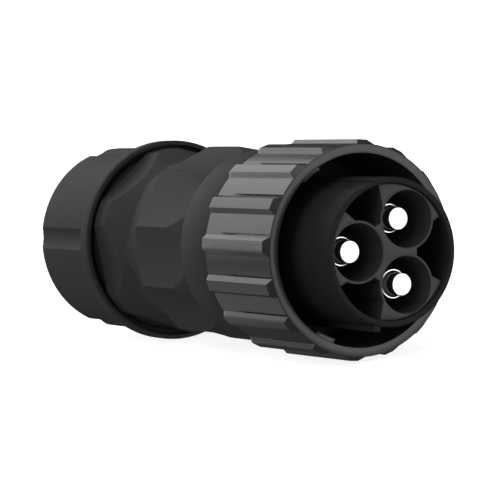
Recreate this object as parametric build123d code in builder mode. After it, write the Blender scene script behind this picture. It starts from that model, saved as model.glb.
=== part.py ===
"""Cable-mounted twist-lock power connector with a ribbed coupling ring and a cable gland.

Lengths are in millimetres. The axis of the connector is X and the mating face looks along +X.
Depths are measured backwards from the front face of the coupling ring, so x = -depth.
Angles run from +Y towards +Z, about the axis.
"""

import math
import os

from build123d import *

os.makedirs("parts", exist_ok=True)

# Fits, all radial or end to end
RUNNING_FIT = 0.05
SEAT_FIT = 0.05
FREE_GAP = 0.3
CUT_OVER = 1.0

# Coupling ring
RING_LENGTH = 23.5
RING_RADIUS = 19.25
RING_WALL = 1.75
RIM_BEVEL = 0.1
RIB_HEIGHT = 0.75
RIB_COUNT = 16
RIB_ANGLE = 178.3
RIBS_TO_GAP = 4.5
RIB_TOP_HALF = 2.5
RIB_FOOT_BEFORE = 6.0
RIB_FOOT_AFTER = 4.8
RIB_END_SLOPE = 1.4
RING_FLANGE = 1.4
RING_SKIRT = 1.3
LUG_DEPTH = 1.2
LUG_LENGTH = 3.3
LUG_HEIGHT = 1.0
LUG_COUNT = 3
LUG_ANGLE = 6.5
LUG_WIDTH = 14.0

# Front shroud, which carries the ring and plugs into the rear housing
SHROUD_REACH = 10.2
SLEEVE_SPACE = 4.2
SHROUD_WALL = 1.1
SHROUD_BEVEL = 0.35
STOP_FLANGE = 1.2
STOP_FLANGE_GAP = 0.35
SPRING_SPACE = 0.7
JOURNAL_RISE = 1.1
JOURNAL_STEP = 0.3
HOUSING_GAP = 0.3
HOUSING_SOCKET = 0.6
SPIGOT_LENGTH = 11.6
KEY_SET_BACK = 0.4
KEY_HEIGHT = 1.1
KEY_WIDTH = 6.4
KEY_ANGLE = 258.0
KEY_END_GAP = 0.3
RECESS_DEPTH = 0.35
RECESS_LENGTH = 5.2
RECESS_ANGLE = 115.5
RECESS_WIDTH = 15.0
BOSS_HEIGHT = 1.0
BOSS_WIDTH = 10.0
BOSS_ANGLE = 90.0
TWIST_ANGLE = 40.0
TWIST_MARGIN = 1.2

# Snap ring, spring washer and seals of the front end
CLIP_THICKNESS = 0.8
CLIP_HEIGHT = 1.5
CLIP_SET_IN = 0.6
CLIP_GAP = 0.2
CLIP_OPENING = 30.0
SPRING_THICKNESS = 0.3
SPRING_SAG = 0.3
SPRING_WIDTH = 1.1
FACE_SEAL = 1.1
O_RING_LAND = 1.0
O_RING_GROOVE = 0.9

# Contact carrier, the base behind it and the retainer
CARRIER_SET_BACK = 0.6
BASE_COLLAR_FRONT = 14.0
BASE_COLLAR = 2.0
BASE_STEP = 0.3
CHAMBER_FLOOR = 6.0
CHAMBER_RIM = 0.3
CHAMBER_WEB = 1.49
SLEEVE_WALL = 0.55
POCKET_INSET = 1.15
POCKETS = ((123.0, 20.0), (2.5, 28.5), (235.0, 25.0))
RETAINER_PLATE = 2.5
RETAINER_WALL = 1.15

# Contacts: name, angle and how far the tip stands behind the carrier mouth
TIP_SET_BACK = 2.9
EARTH_SET_BACK = 1.5
CONTACTS = (
    ("line_contact", 180.0, TIP_SET_BACK),
    ("neutral_contact", 60.0, TIP_SET_BACK),
    ("earth_contact", 300.0, EARTH_SET_BACK),
)
SCREWS = ("line_clamp_screw", "neutral_clamp_screw", "earth_clamp_screw")
PIN_RADIUS = 2.65
NOSE_RADIUS = 2.0
NOSE_LENGTH = 2.8
NOSE_BEVEL = 0.35
SHANK_RADIUS = 3.0
CONTACT_COLLAR = 3.4
CONTACT_COLLAR_LENGTH = 1.5
BARREL_RADIUS = 2.9
BARREL_END_GAP = 3.0
WIRE_BORE = 1.7
WIRE_BORE_LENGTH = 12.0
SCREW_SET_BACK = 4.0
SCREW_RADIUS = 1.25
SCREW_LENGTH = 2.0
SCREW_REACH = 1.3
SCREW_SOCKET = 0.75
SCREW_SOCKET_DEPTH = 0.9
ACCESS_RADIUS = 1.7

# Rear housing, whose radii stand in from the ring's
HOUSING_INSET = 1.05
HOUSING_BEVEL = 0.3
HOUSING_BAND = 10.8
LAND_DROP = 0.34
RIDGE_INSET = 0.3
LAND_LENGTH = 5.4
RIDGE_LENGTH = 12.0
FLUTE_COUNT = 10
FLUTE_ANGLE = 188.0
FLUTE_INSET = 1.75
FLUTE_CUTTER_RADIUS = 33.0
NECK_INSET = 2.85
NECK_CURVE = 6.5
NECK_FLAT = 1.5
FLARE_LENGTH = 6.0
HEX_LENGTH = 4.4
HEX_CORNER_INSET = 0.75
HEX_FLAT_INSET = 2.15
HEX_ANGLE = 163.0
SEAT_LIP = 0.5
TAIL_INSET = 3.3
TAIL_LENGTH = 15.6
TAIL_WALL = 2.35

# Gland
CAGE_WALL = 2.8
CAGE_LENGTH = 19.0
CAGE_BASE = 2.0
CAGE_LIP_HEIGHT = 4.25
CAGE_SLOT = 1.6
CAGE_SLOTS = 8
CAGE_TAPER = 2.7
CAGE_TAPER_DROP = 1.0
CAGE_SLOT_START = 4.0
SEAL_LENGTH = 14.0
SEAL_WALL = 3.0
INSERT_LENGTH = 15.0
INSERT_WALL = 2.65
WASHER_THICKNESS = 1.2
WASHER_WIDTH = 4.6
WASHER_GAP = 0.1
WASHER_SIDE_GAP = 0.5
GLAND_O_RING = 1.0
NUT_SKIRT = 3.0
NUT_SKIRT_OVERLAP = 0.4
NUT_SKIRT_SPACE = 0.6
NUT_SKIRT_WALL = 0.9
NUT_BEVEL = 0.3
NUT_STEP = 1.5
NUT_LENGTH = 24.5
NUT_REAR_ROUND = 1.2
NUT_REAR_WALL = 3.9
NUT_LIP = 5.2
NUT_GROOVES = 5
NUT_GROOVE_ANGLE = 180.0
NUT_GROOVE_CUTTER_RADIUS = 6.0
NUT_GROOVE_DEPTH = 0.5
NUT_GROOVE_START = 5.0
NUT_GROOVE_END = 3.5

# Radii and depths that follow from the values above. The rest turn brings the gap that lies
# RIBS_TO_GAP ribs on from the first rib to the bottom.
ring_bore = RING_RADIUS - RING_WALL
rib_radius = RING_RADIUS + RIB_HEIGHT
rest_turn = 270 - (RIB_ANGLE + RIBS_TO_GAP * 360 / RIB_COUNT)
shroud_radius = ring_bore - SLEEVE_SPACE
journal_radius = shroud_radius + JOURNAL_RISE
ring_skirt_start = RING_LENGTH - RING_SKIRT
ring_flange_start = ring_skirt_start - RING_FLANGE
journal_bore = journal_radius + RUNNING_FIT
stop_rear = ring_flange_start - SPRING_SPACE
stop_front = stop_rear - STOP_FLANGE
stop_radius = ring_bore - STOP_FLANGE_GAP
spring_inner = journal_radius + 2 * RUNNING_FIT
spring_outer = spring_inner + SPRING_WIDTH
boss_inner = spring_outer + FREE_GAP
boss_end = ring_skirt_start - FREE_GAP
boss_slot_start = BOSS_ANGLE - BOSS_WIDTH / 2 - TWIST_ANGLE - TWIST_MARGIN
boss_slot_width = BOSS_WIDTH + TWIST_ANGLE + 2 * TWIST_MARGIN
clip_start = ring_skirt_start + CLIP_GAP
clip_floor = journal_radius - CLIP_SET_IN
shroud_bore = shroud_radius - SHROUD_WALL
housing_front = RING_LENGTH + HOUSING_GAP
spigot_start = housing_front + HOUSING_SOCKET
spigot_end = spigot_start + SPIGOT_LENGTH
spigot_radius = journal_radius - JOURNAL_STEP
spigot_bore = shroud_bore + BASE_STEP
o_ring_start = spigot_start + O_RING_LAND
o_ring_floor = spigot_radius - O_RING_GROOVE
socket_bore = spigot_radius + SEAT_FIT
o_ring_section = (socket_bore - o_ring_floor) / 2
o_ring_space = 3 * o_ring_section
seal_front = stop_front - FACE_SEAL
carrier_radius = shroud_bore - SEAT_FIT
carrier_mouth = CARRIER_SET_BACK - SHROUD_REACH
chamber_radius = (math.sqrt(3) * (carrier_radius - CHAMBER_RIM) - CHAMBER_WEB) / (2 + math.sqrt(3))
pitch_radius = carrier_radius - CHAMBER_RIM - chamber_radius
pocket_inner = pitch_radius - POCKET_INSET
base_rear = BASE_COLLAR_FRONT + BASE_COLLAR
collar_radius = spigot_bore - SEAT_FIT
retainer_bore = collar_radius - RETAINER_WALL
plate_front = base_rear + CONTACT_COLLAR_LENGTH
plate_rear = plate_front + RETAINER_PLATE
barrel_end = spigot_end - BARREL_END_GAP
screw_depth = barrel_end - SCREW_SET_BACK
band_end = housing_front + HOUSING_BAND
housing_radius = RING_RADIUS - HOUSING_INSET
land_radius = housing_radius - LAND_DROP
ridge_radius = RING_RADIUS - RIDGE_INSET
flute_floor = RING_RADIUS - FLUTE_INSET
neck_radius = RING_RADIUS - NECK_INSET
hex_corner = RING_RADIUS - HEX_CORNER_INSET
hex_apothem = RING_RADIUS - HEX_FLAT_INSET
tail_radius = RING_RADIUS - TAIL_INSET
ridge_start = band_end + LAND_LENGTH
ridge_end = ridge_start + RIDGE_LENGTH
neck_low = ridge_end + NECK_CURVE
flare_start = neck_low + NECK_FLAT
hex_start = flare_start + FLARE_LENGTH
hex_end = hex_start + HEX_LENGTH
housing_cavity = collar_radius - SEAT_LIP
tail_end = hex_end + TAIL_LENGTH
tail_bore = tail_radius - TAIL_WALL
cage_start = hex_end - NUT_SKIRT_OVERLAP
cage_radius = tail_bore - SEAT_FIT
cage_bore = cage_radius - CAGE_WALL
cage_lip = cage_bore - CAGE_LIP_HEIGHT
cage_end = cage_start + CAGE_LENGTH
seal_start = cage_start + CAGE_BASE
seal_radius = cage_bore - SEAT_FIT
seal_bore = seal_radius - SEAL_WALL
insert_radius = seal_bore - SEAT_FIT
cable_bore = insert_radius - INSERT_WALL
nut_front = hex_end - NUT_SKIRT_OVERLAP
nut_end = nut_front + NUT_LENGTH
nut_bore = tail_radius + RUNNING_FIT
nut_opening = nut_bore - NUT_LIP
nut_skirt_bore = hex_corner + NUT_SKIRT_SPACE
nut_skirt_radius = nut_skirt_bore + NUT_SKIRT_WALL
nut_radius = nut_skirt_radius - NUT_STEP
nut_groove_centre = nut_radius - NUT_GROOVE_DEPTH + NUT_GROOVE_CUTTER_RADIUS
nut_step = hex_end + 2 * GLAND_O_RING + WASHER_GAP
nut_rear_wall = nut_end - NUT_REAR_WALL
washer_end = nut_rear_wall - WASHER_GAP
washer_start = washer_end - WASHER_THICKNESS
washer_radius = nut_bore - WASHER_SIDE_GAP
washer_bore = washer_radius - WASHER_WIDTH


def half_plane(angle=0.0, centre=(0.0, 0.0)):
    """Plane whose first axis is depth and whose second axis is the radius at this angle."""
    turn = math.radians(angle)
    return Plane(
        origin=(0, centre[0], centre[1]),
        x_dir=(-1, 0, 0),
        z_dir=(0, math.sin(turn), -math.cos(turn)),
    )


def section(depth):
    """Plane across the axis at this depth, looking forwards."""
    return Plane.YZ.offset(-depth)


def radial(depth, angle, start):
    """Plane across the radius at this angle, looking outwards from this radius."""
    turn = math.radians(angle)
    return Plane(
        origin=(-depth, start * math.cos(turn), start * math.sin(turn)),
        x_dir=(1, 0, 0),
        z_dir=(0, math.cos(turn), math.sin(turn)),
    )


def outline(*points, angle=0.0, centre=(0.0, 0.0)):
    """Closed face through (depth, radius) points."""
    with BuildSketch(half_plane(angle, centre)) as face:
        with BuildLine():
            Polyline(*points, close=True)
        make_face()
    return face.sketch


def bead(depth, radius, size):
    """Round section of an O-ring."""
    with BuildSketch(half_plane()) as face:
        with Locations((depth, radius)):
            Circle(size)
    return face.sketch


def around(angle):
    """Place on the pitch circle of the contacts, as (y, z)."""
    turn = math.radians(angle)
    return (pitch_radius * math.cos(turn), pitch_radius * math.sin(turn))


def polar(radius, angle):
    """Point at this radius and angle."""
    turn = math.radians(angle)
    return (radius * math.cos(turn), radius * math.sin(turn))


# Coupling ring: ribbed grip, bayonet lugs, running flange with the twist slot
with BuildPart() as coupling_ring:
    with BuildSketch(section(RING_LENGTH)):
        Circle(RING_RADIUS)
        with PolarLocations(0, RIB_COUNT, start_angle=RIB_ANGLE):
            Polygon(
                polar(ring_bore, -RIB_FOOT_BEFORE),
                polar(RING_RADIUS, -RIB_FOOT_BEFORE),
                polar(rib_radius, -RIB_TOP_HALF),
                polar(rib_radius, RIB_TOP_HALF),
                polar(RING_RADIUS, RIB_FOOT_AFTER),
                polar(ring_bore, RIB_FOOT_AFTER),
                align=None,
            )
    extrude(amount=RING_LENGTH)
    revolve(
        outline(
            (-CUT_OVER, RING_RADIUS - RIM_BEVEL),
            (0, RING_RADIUS - RIM_BEVEL),
            (RIB_END_SLOPE, rib_radius),
            (RIB_END_SLOPE, rib_radius + CUT_OVER),
            (-CUT_OVER, rib_radius + CUT_OVER),
        ),
        axis=Axis.X,
        mode=Mode.SUBTRACT,
    )
    revolve(
        outline(
            (-CUT_OVER, 0),
            (-CUT_OVER, ring_bore),
            (ring_flange_start, ring_bore),
            (ring_flange_start, journal_bore),
            (ring_skirt_start, journal_bore),
            (ring_skirt_start, ring_bore),
            (RING_LENGTH + CUT_OVER, ring_bore),
            (RING_LENGTH + CUT_OVER, 0),
        ),
        axis=Axis.X,
        mode=Mode.SUBTRACT,
    )
    revolve(
        outline(
            (ring_flange_start - FREE_GAP, boss_inner - FREE_GAP),
            (ring_flange_start - FREE_GAP, boss_inner + BOSS_HEIGHT + FREE_GAP),
            (ring_skirt_start + FREE_GAP, boss_inner + BOSS_HEIGHT + FREE_GAP),
            (ring_skirt_start + FREE_GAP, boss_inner - FREE_GAP),
            angle=boss_slot_start,
        ),
        axis=Axis.X,
        revolution_arc=boss_slot_width,
        mode=Mode.SUBTRACT,
    )
    for count in range(LUG_COUNT):
        revolve(
            outline(
                (LUG_DEPTH, ring_bore - LUG_HEIGHT),
                (LUG_DEPTH, ring_bore + RING_WALL / 2),
                (LUG_DEPTH + LUG_LENGTH, ring_bore + RING_WALL / 2),
                (LUG_DEPTH + LUG_LENGTH, ring_bore - LUG_HEIGHT),
                angle=LUG_ANGLE + count * 360 / LUG_COUNT - LUG_WIDTH / 2,
            ),
            axis=Axis.X,
            revolution_arc=LUG_WIDTH,
        )

# Front shroud: tube round the contacts, stop flange, journal for the ring, spigot for the housing
with BuildPart() as front_shroud:
    revolve(
        outline(
            (-SHROUD_REACH, shroud_bore),
            (-SHROUD_REACH, shroud_radius - SHROUD_BEVEL),
            (SHROUD_BEVEL - SHROUD_REACH, shroud_radius),
            (stop_front, shroud_radius),
            (stop_front, stop_radius),
            (stop_rear, stop_radius),
            (stop_rear, journal_radius),
            (spigot_start, journal_radius),
            (spigot_start, spigot_radius),
            (spigot_end, spigot_radius),
            (spigot_end, spigot_bore),
            (BASE_COLLAR_FRONT, spigot_bore),
            (BASE_COLLAR_FRONT, shroud_bore),
        ),
        axis=Axis.X,
    )
    revolve(
        outline(
            (clip_start, clip_floor),
            (clip_start, journal_radius + CUT_OVER),
            (clip_start + CLIP_THICKNESS + SEAT_FIT, journal_radius + CUT_OVER),
            (clip_start + CLIP_THICKNESS + SEAT_FIT, clip_floor),
        ),
        axis=Axis.X,
        mode=Mode.SUBTRACT,
    )
    revolve(
        outline(
            (o_ring_start, o_ring_floor),
            (o_ring_start, spigot_radius + CUT_OVER),
            (o_ring_start + o_ring_space, spigot_radius + CUT_OVER),
            (o_ring_start + o_ring_space, o_ring_floor),
        ),
        axis=Axis.X,
        mode=Mode.SUBTRACT,
    )
    revolve(
        outline(
            (KEY_SET_BACK - SHROUD_REACH, shroud_radius - SHROUD_WALL / 2),
            (KEY_SET_BACK - SHROUD_REACH, shroud_radius + KEY_HEIGHT),
            (seal_front - KEY_END_GAP, shroud_radius + KEY_HEIGHT),
            (seal_front - KEY_END_GAP, shroud_radius - SHROUD_WALL / 2),
            angle=KEY_ANGLE - KEY_WIDTH / 2,
        ),
        axis=Axis.X,
        revolution_arc=KEY_WIDTH,
    )
    revolve(
        outline(
            (-SHROUD_REACH - CUT_OVER, shroud_radius - RECESS_DEPTH),
            (-SHROUD_REACH - CUT_OVER, shroud_radius + CUT_OVER),
            (RECESS_LENGTH - SHROUD_REACH, shroud_radius + CUT_OVER),
            (RECESS_LENGTH - SHROUD_REACH, shroud_radius - RECESS_DEPTH),
            angle=RECESS_ANGLE - RECESS_WIDTH / 2,
        ),
        axis=Axis.X,
        revolution_arc=RECESS_WIDTH,
        mode=Mode.SUBTRACT,
    )
    revolve(
        outline(
            (stop_rear - STOP_FLANGE / 2, boss_inner),
            (stop_rear - STOP_FLANGE / 2, boss_inner + BOSS_HEIGHT),
            (boss_end, boss_inner + BOSS_HEIGHT),
            (boss_end, boss_inner),
            angle=BOSS_ANGLE - BOSS_WIDTH / 2,
        ),
        axis=Axis.X,
        revolution_arc=BOSS_WIDTH,
    )
    for _name, angle, _set_back in CONTACTS:
        with BuildSketch(radial(screw_depth, angle, retainer_bore - CUT_OVER)):
            Circle(ACCESS_RADIUS)
        extrude(amount=spigot_radius - retainer_bore + 2 * CUT_OVER, mode=Mode.SUBTRACT)

# Flat face seal that the mating half presses against
with BuildPart() as interface_seal:
    revolve(
        outline(
            (seal_front, shroud_radius + SEAT_FIT),
            (seal_front, stop_radius - SEAT_FIT),
            (stop_front, stop_radius - SEAT_FIT),
            (stop_front, shroud_radius + SEAT_FIT),
        ),
        axis=Axis.X,
    )

# Bowed spring washer that takes up the play of the ring
bow_radius = (spring_outer**2 + SPRING_SAG**2) / (2 * SPRING_SAG)
with BuildPart() as spring_washer:
    revolve(
        outline(
            (stop_rear, spring_inner),
            (stop_rear, spring_outer),
            (ring_flange_start, spring_outer),
            (ring_flange_start, spring_inner),
        ),
        axis=Axis.X,
    )
    with BuildSketch(Plane.XY):
        with Locations((-(stop_rear + bow_radius), 0)):
            Circle(bow_radius)
            Circle(bow_radius - SPRING_THICKNESS, mode=Mode.SUBTRACT)
    extrude(amount=spring_outer, both=True, mode=Mode.INTERSECT)

# Open snap ring behind the flange of the coupling ring
with BuildPart() as retaining_ring:
    revolve(
        outline(
            (clip_start, clip_floor + SEAT_FIT),
            (clip_start, clip_floor + SEAT_FIT + CLIP_HEIGHT),
            (clip_start + CLIP_THICKNESS, clip_floor + SEAT_FIT + CLIP_HEIGHT),
            (clip_start + CLIP_THICKNESS, clip_floor + SEAT_FIT),
            angle=BOSS_ANGLE + CLIP_OPENING / 2,
        ),
        axis=Axis.X,
        revolution_arc=360 - CLIP_OPENING,
    )

with BuildPart() as housing_o_ring:
    revolve(
        bead(
            o_ring_start + o_ring_space / 2,
            o_ring_floor + o_ring_section,
            o_ring_section,
        ),
        axis=Axis.X,
    )

# Contact carrier: three deep chambers with three pockets between them
with BuildPart() as contact_carrier:
    with BuildSketch(section(CHAMBER_FLOOR)):
        Circle(carrier_radius)
        with BuildSketch(mode=Mode.SUBTRACT):
            for centre, half in POCKETS:
                Polygon(
                    (0, 0),
                    polar(2 * carrier_radius, centre - half),
                    polar(2 * carrier_radius, centre + half),
                    align=None,
                )
            Circle(carrier_radius + CUT_OVER, mode=Mode.INTERSECT)
            Circle(pocket_inner, mode=Mode.SUBTRACT)
            with PolarLocations(pitch_radius, len(CONTACTS), start_angle=CONTACTS[0][1]):
                Circle(chamber_radius + SLEEVE_WALL, mode=Mode.SUBTRACT)
        with PolarLocations(pitch_radius, len(CONTACTS), start_angle=CONTACTS[0][1]):
            Circle(chamber_radius, mode=Mode.SUBTRACT)
    extrude(amount=CHAMBER_FLOOR - carrier_mouth)

# Carrier base: disc that closes the chambers and holds the shanks of the contacts
with BuildPart() as carrier_base:
    revolve(
        outline(
            (CHAMBER_FLOOR, 0),
            (CHAMBER_FLOOR, carrier_radius),
            (BASE_COLLAR_FRONT, carrier_radius),
            (BASE_COLLAR_FRONT, collar_radius),
            (base_rear, collar_radius),
            (base_rear, 0),
        ),
        axis=Axis.X,
    )
    with BuildSketch(section(base_rear)):
        with PolarLocations(pitch_radius, len(CONTACTS), start_angle=CONTACTS[0][1]):
            Circle(SHANK_RADIUS + SEAT_FIT)
    extrude(amount=base_rear - CHAMBER_FLOOR, mode=Mode.SUBTRACT)

# Retainer: plate behind the contact collars and a tube that the housing shoulder pushes on
with BuildPart() as contact_retainer:
    revolve(
        outline(
            (base_rear, retainer_bore),
            (base_rear, collar_radius),
            (spigot_end, collar_radius),
            (spigot_end, retainer_bore),
            (plate_rear, retainer_bore),
            (plate_rear, 0),
            (plate_front, 0),
            (plate_front, retainer_bore),
        ),
        axis=Axis.X,
    )
    with BuildSketch(section(plate_rear + CUT_OVER)):
        with PolarLocations(pitch_radius, len(CONTACTS), start_angle=CONTACTS[0][1]):
            Circle(BARREL_RADIUS + SEAT_FIT)
    extrude(amount=RETAINER_PLATE + 2 * CUT_OVER, mode=Mode.SUBTRACT)
    for _name, angle, _set_back in CONTACTS:
        with BuildSketch(radial(screw_depth, angle, retainer_bore - CUT_OVER)):
            Circle(ACCESS_RADIUS)
        extrude(amount=RETAINER_WALL + 2 * CUT_OVER, mode=Mode.SUBTRACT)

# Contact pins with their clamping barrels
pieces = {}
for name, angle, set_back in CONTACTS:
    place = around(angle)
    tip = carrier_mouth + set_back
    with BuildPart() as contact:
        revolve(
            outline(
                (tip, 0),
                (tip, NOSE_RADIUS - NOSE_BEVEL),
                (tip + NOSE_BEVEL, NOSE_RADIUS),
                (tip + NOSE_LENGTH, NOSE_RADIUS),
                (tip + NOSE_LENGTH + PIN_RADIUS - NOSE_RADIUS, PIN_RADIUS),
                (CHAMBER_FLOOR, PIN_RADIUS),
                (CHAMBER_FLOOR, SHANK_RADIUS),
                (base_rear, SHANK_RADIUS),
                (base_rear, CONTACT_COLLAR),
                (plate_front, CONTACT_COLLAR),
                (plate_front, BARREL_RADIUS),
                (barrel_end, BARREL_RADIUS),
                (barrel_end, WIRE_BORE),
                (barrel_end - WIRE_BORE_LENGTH, WIRE_BORE),
                (barrel_end - WIRE_BORE_LENGTH, 0),
                centre=place,
            ),
            axis=Axis((0, *place), (1, 0, 0)),
        )
        with BuildSketch(radial(screw_depth, angle, pitch_radius)):
            Circle(SCREW_RADIUS + SEAT_FIT)
        extrude(amount=BARREL_RADIUS + CUT_OVER, mode=Mode.SUBTRACT)
    pieces[name] = contact

# Socket set screws that clamp the wires
for name, (_contact, angle, _set_back) in zip(SCREWS, CONTACTS):
    with BuildPart() as screw:
        with BuildSketch(radial(screw_depth, angle, pitch_radius + SCREW_REACH)):
            Circle(SCREW_RADIUS)
        extrude(amount=SCREW_LENGTH)
        with BuildSketch(radial(screw_depth, angle, pitch_radius + SCREW_REACH + SCREW_LENGTH)):
            RegularPolygon(SCREW_SOCKET, 6)
        extrude(amount=-SCREW_SOCKET_DEPTH, mode=Mode.SUBTRACT)
    pieces[name] = screw

# Rear housing: plain band, fluted grip, neck, hexagon and threaded tail
with BuildPart() as rear_housing:
    with BuildSketch(half_plane()):
        with BuildLine():
            Polyline(
                (neck_low, neck_radius),
                (flare_start, neck_radius),
                (hex_start, hex_corner),
                (hex_end, hex_corner),
                (hex_end, tail_radius),
                (tail_end, tail_radius),
                (tail_end, tail_bore),
                (cage_start, tail_bore),
                (cage_start, housing_cavity),
                (spigot_end, housing_cavity),
                (spigot_end, socket_bore),
                (spigot_start, socket_bore),
                (spigot_start, journal_bore),
                (housing_front, journal_bore),
                (housing_front, housing_radius - HOUSING_BEVEL),
                (housing_front + HOUSING_BEVEL, housing_radius),
                (band_end, housing_radius),
                (band_end, land_radius),
                (ridge_start, ridge_radius),
                (ridge_end, ridge_radius),
            )
            TangentArc((neck_low, neck_radius), (ridge_end, ridge_radius), tangent=(-1, 0))
        make_face()
    revolve(axis=Axis.X)
    with BuildSketch(section(flare_start)):
        with PolarLocations(flute_floor + FLUTE_CUTTER_RADIUS, FLUTE_COUNT, start_angle=FLUTE_ANGLE):
            Circle(FLUTE_CUTTER_RADIUS)
        Circle(ridge_radius + CUT_OVER, mode=Mode.INTERSECT)
    extrude(amount=flare_start - band_end, mode=Mode.SUBTRACT)
    with BuildSketch(section(hex_end)):
        Circle(hex_corner + CUT_OVER)
        RegularPolygon(
            hex_apothem, 6, major_radius=False, rotation=HEX_ANGLE, mode=Mode.SUBTRACT
        )
    extrude(amount=hex_end - flare_start, mode=Mode.SUBTRACT)

with BuildPart() as gland_o_ring:
    revolve(
        bead(hex_end + GLAND_O_RING, tail_radius + GLAND_O_RING, GLAND_O_RING),
        axis=Axis.X,
    )

# Cable cage: base with a lip and springy fingers
with BuildPart() as cable_cage:
    revolve(
        outline(
            (cage_start, cage_lip),
            (cage_start, cage_radius),
            (cage_end - CAGE_TAPER, cage_radius),
            (cage_end, cage_radius - CAGE_TAPER_DROP),
            (cage_end, cage_bore),
            (seal_start, cage_bore),
            (seal_start, cage_lip),
        ),
        axis=Axis.X,
    )
    with BuildSketch(section(cage_end + CUT_OVER)):
        with PolarLocations(0, CAGE_SLOTS // 2):
            Rectangle(2 * (cage_radius + CUT_OVER), CAGE_SLOT)
    extrude(amount=CAGE_LENGTH - CAGE_SLOT_START + CUT_OVER, mode=Mode.SUBTRACT)

with BuildPart() as cable_seal:
    revolve(
        outline(
            (seal_start, seal_bore),
            (seal_start, seal_radius),
            (seal_start + SEAL_LENGTH, seal_radius),
            (seal_start + SEAL_LENGTH, seal_bore),
        ),
        axis=Axis.X,
    )

with BuildPart() as seal_insert:
    revolve(
        outline(
            (seal_start, cable_bore),
            (seal_start, insert_radius),
            (seal_start + INSERT_LENGTH, insert_radius),
            (seal_start + INSERT_LENGTH, cable_bore),
        ),
        axis=Axis.X,
    )

with BuildPart() as thrust_washer:
    revolve(
        outline(
            (washer_start, washer_bore),
            (washer_start, washer_radius),
            (washer_end, washer_radius),
            (washer_end, washer_bore),
        ),
        axis=Axis.X,
    )

# Gland nut: thin skirt over the hexagon, grooved grip, thread bore and rear opening
with BuildPart() as gland_nut:
    with BuildSketch(half_plane()):
        with BuildLine():
            Polyline(
                (nut_end, nut_radius - NUT_REAR_ROUND),
                (nut_end, nut_opening),
                (nut_rear_wall, nut_opening),
                (nut_rear_wall, nut_bore),
                (nut_step, nut_bore),
                (nut_step, nut_skirt_bore),
                (nut_front, nut_skirt_bore),
                (nut_front, nut_skirt_radius - NUT_BEVEL),
                (nut_front + NUT_BEVEL, nut_skirt_radius),
                (nut_front + NUT_SKIRT, nut_skirt_radius),
                (nut_front + NUT_SKIRT, nut_radius),
                (nut_end - NUT_REAR_ROUND, nut_radius),
            )
            TangentArc(
                (nut_end - NUT_REAR_ROUND, nut_radius),
                (nut_end, nut_radius - NUT_REAR_ROUND),
                tangent=(1, 0),
            )
        make_face()
    revolve(axis=Axis.X)
    with BuildSketch(section(nut_end - NUT_GROOVE_END)):
        with PolarLocations(nut_groove_centre, NUT_GROOVES, start_angle=NUT_GROOVE_ANGLE):
            Circle(NUT_GROOVE_CUTTER_RADIUS)
    extrude(amount=NUT_LENGTH - NUT_GROOVE_START - NUT_GROOVE_END, mode=Mode.SUBTRACT)

pieces["coupling_ring"] = coupling_ring
pieces["front_shroud"] = front_shroud
pieces["interface_seal"] = interface_seal
pieces["spring_washer"] = spring_washer
pieces["retaining_ring"] = retaining_ring
pieces["housing_o_ring"] = housing_o_ring
pieces["contact_carrier"] = contact_carrier
pieces["carrier_base"] = carrier_base
pieces["contact_retainer"] = contact_retainer
pieces["rear_housing"] = rear_housing
pieces["gland_o_ring"] = gland_o_ring
pieces["cable_cage"] = cable_cage
pieces["cable_seal"] = cable_seal
pieces["seal_insert"] = seal_insert
pieces["thrust_washer"] = thrust_washer
pieces["gland_nut"] = gland_nut

# The connector lies on two ribs of its ring, so every piece is turned by the same angle
for name, piece in pieces.items():
    lying = piece.part.rotate(Axis.X, rest_turn)
    lying.label = name
    export_step(lying, f"parts/{name}.step")
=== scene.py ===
"""Looks of the twist-lock power connector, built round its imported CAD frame.

Sizes in the classes are millimetres. Depths are measured backwards from the front face of the coupling ring,
so x = -depth, and angles run from +Y towards +Z about the axis, as in the CAD source. The classes describe
the pose of the photograph. The connector rests on two ribs of its ring, so every piece, the camera and the
lights are turned about the axis by REST_TURN at the end.
"""

import logging
import math
from collections.abc import Callable, Sequence
from dataclasses import dataclass, field
from enum import Enum

import bmesh
import bpy
import numpy as np
from mathutils import Matrix, Vector

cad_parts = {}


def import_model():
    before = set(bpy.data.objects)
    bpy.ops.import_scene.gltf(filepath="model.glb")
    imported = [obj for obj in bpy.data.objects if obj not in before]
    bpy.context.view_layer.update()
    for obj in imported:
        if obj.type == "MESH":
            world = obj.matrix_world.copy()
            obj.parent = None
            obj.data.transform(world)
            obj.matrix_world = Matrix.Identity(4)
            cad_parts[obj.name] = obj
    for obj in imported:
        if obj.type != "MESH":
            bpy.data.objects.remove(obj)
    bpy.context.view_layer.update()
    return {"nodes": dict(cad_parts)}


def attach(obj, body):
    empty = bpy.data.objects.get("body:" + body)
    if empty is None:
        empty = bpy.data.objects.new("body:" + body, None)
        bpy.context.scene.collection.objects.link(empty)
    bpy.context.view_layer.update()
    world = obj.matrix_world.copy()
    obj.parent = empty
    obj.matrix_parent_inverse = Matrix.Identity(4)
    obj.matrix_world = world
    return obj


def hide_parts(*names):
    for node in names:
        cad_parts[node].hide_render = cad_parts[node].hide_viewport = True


MM = 0.001
FULL_TURN = 2 * math.pi
REST_TURN = math.radians(-9.55)
WHITE = (1.0, 1.0, 1.0, 1.0)
# Largest share of an edge that one rounded corner takes
EDGE_SHARE = 0.45
# Angle in radians below which a corner counts as straight
STRAIGHT = 0.02
# Distance in metres below which two points become one
MERGE_DISTANCE = 1e-7
# What an input of a node is given: a value or the socket that it is linked from
Source = float | tuple[float, ...] | bpy.types.NodeSocket
log = logging.getLogger("connector")


class Body(str, Enum):
    """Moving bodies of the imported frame."""

    HOUSING = "housing"
    RING = "ring"
    WASHER = "washer"
    NUT = "nut"


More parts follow.
